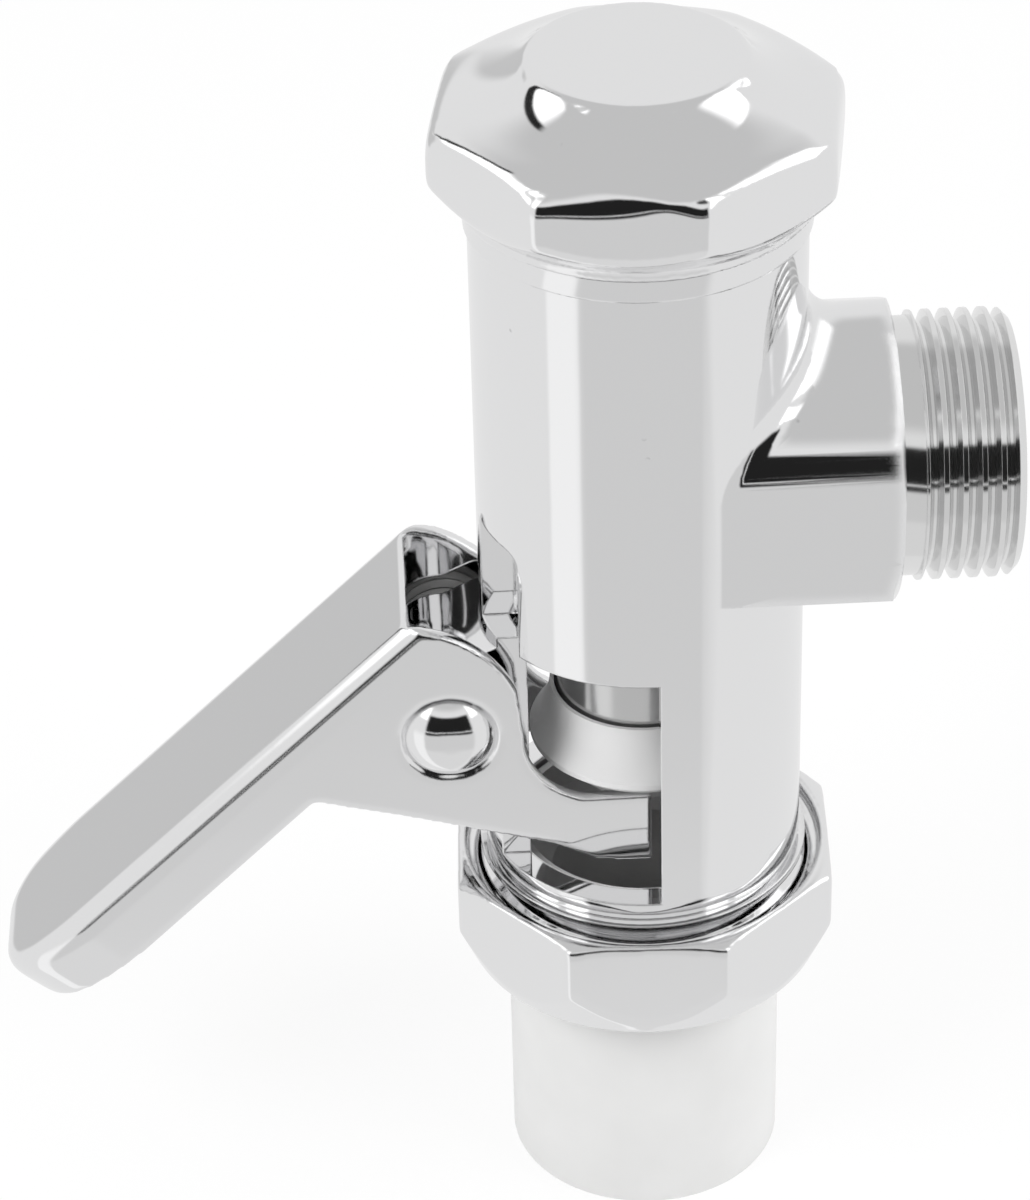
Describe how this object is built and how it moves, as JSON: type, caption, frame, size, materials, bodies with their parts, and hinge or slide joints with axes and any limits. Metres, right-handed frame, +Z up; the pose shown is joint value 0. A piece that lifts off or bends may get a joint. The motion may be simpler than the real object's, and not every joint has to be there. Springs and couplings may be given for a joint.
{
  "type": "lever flush valve",
  "caption": "Exposed flush valve: a vertical tube with a capped cylinder on top, a threaded side inlet, a sloping press lever, air windows and a nut on the flush pipe.",
  "frame": {"origin": "centre of the flush pipe's open lower end", "axes": "+Z up along the valve's tube, +X out along the inlet, -Y the front from which the picture looks"},
  "size_m": [0.1017, 0.0394, 0.1281],
  "materials": {
    "valve_body": "polished chrome plating on brass",
    "cap": "polished chrome plating on brass",
    "cap_gasket": "red fibre",
    "seat_gasket": "red fibre",
    "seat_nozzle": "nickel plate on brass",
    "main_piston": "turned brass",
    "seat_washer": "black rubber",
    "guide_cage": "turned brass",
    "piston_cup": "black rubber",
    "cup_retainer": "turned brass",
    "bleed_jet": "turned brass",
    "pilot_valve": "turned brass",
    "pilot_seal": "black rubber",
    "pilot_spring": "bright spring steel",
    "spring_cap": "turned brass",
    "closing_spring": "bright spring steel",
    "lifting_sleeve": "white moulded plastic",
    "lever": "polished chrome plating on brass",
    "pivot_rivet": "polished chrome plating on brass",
    "pivot_washers": "white plastic",
    "air_break_insert": "light grey moulded plastic",
    "flush_pipe_end": "white moulded plastic",
    "outlet_seal": "black rubber",
    "slip_ring": "white plastic",
    "union_nut": "polished chrome plating on brass"
  },
  "bodies": {
    "valve": {"valve_body": "valve_body", "cap": "cap", "cap_gasket": "cap_gasket", "seat_gasket": "seat_gasket", "seat_nozzle": "seat_nozzle", "closing_spring": "closing_spring", "air_break_insert": "air_break_insert", "flush_pipe_end": "flush_pipe_end", "outlet_seal": "outlet_seal", "slip_ring": "slip_ring"},
    "lever": {"lever": "lever", "pivot_rivet": "pivot_rivet", "pivot_washers": "pivot_washers"},
    "sleeve": {"lifting_sleeve": "lifting_sleeve"},
    "piston": {"main_piston": "main_piston", "seat_washer": "seat_washer", "guide_cage": "guide_cage", "piston_cup": "piston_cup", "cup_retainer": "cup_retainer", "bleed_jet": "bleed_jet", "spring_cap": "spring_cap", "pilot_spring": "pilot_spring"},
    "pilot": {"pilot_valve": "pilot_valve", "pilot_seal": "pilot_seal"},
    "nut": {"union_nut": "union_nut"}
  },
  "joints": [
    {"name": "lever_pivot", "type": "hinge", "parent": "valve", "child": "lever", "pos_m": [-0.0195, 0, 0.05856], "axis": [0, -1, 0], "range_deg": [0, 14], "stiffness_Nm_per_rad": 0.5, "springref_deg": -5.73},
    {"name": "sleeve_lift", "type": "slide", "parent": "valve", "child": "sleeve", "axis": [0, 0, 1], "range_m": [0, 0.005]},
    {"name": "piston_lift", "type": "slide", "parent": "valve", "child": "piston", "axis": [0, 0, 1], "range_m": [0, 0.008], "stiffness_N_per_m": 250, "springref_m": -0.004, "deforming": ["closing_spring"]},
    {"name": "pilot_lift", "type": "slide", "parent": "piston", "child": "pilot", "axis": [0, 0, 1], "range_m": [0, 0.005], "deforming": ["pilot_spring"]},
    {"name": "union_nut_turn", "type": "hinge", "parent": "valve", "child": "nut", "pos_m": [0, 0, 0.0326], "axis": [0, 0, 1], "continuous": true}
  ],
  "couplings": [
    {"joint": "sleeve_lift", "follows": "lever_pivot", "m_per_rad": 0.02},
    {"joint": "pilot_lift", "follows": "lever_pivot", "m_per_rad": 0.02}
  ]
}
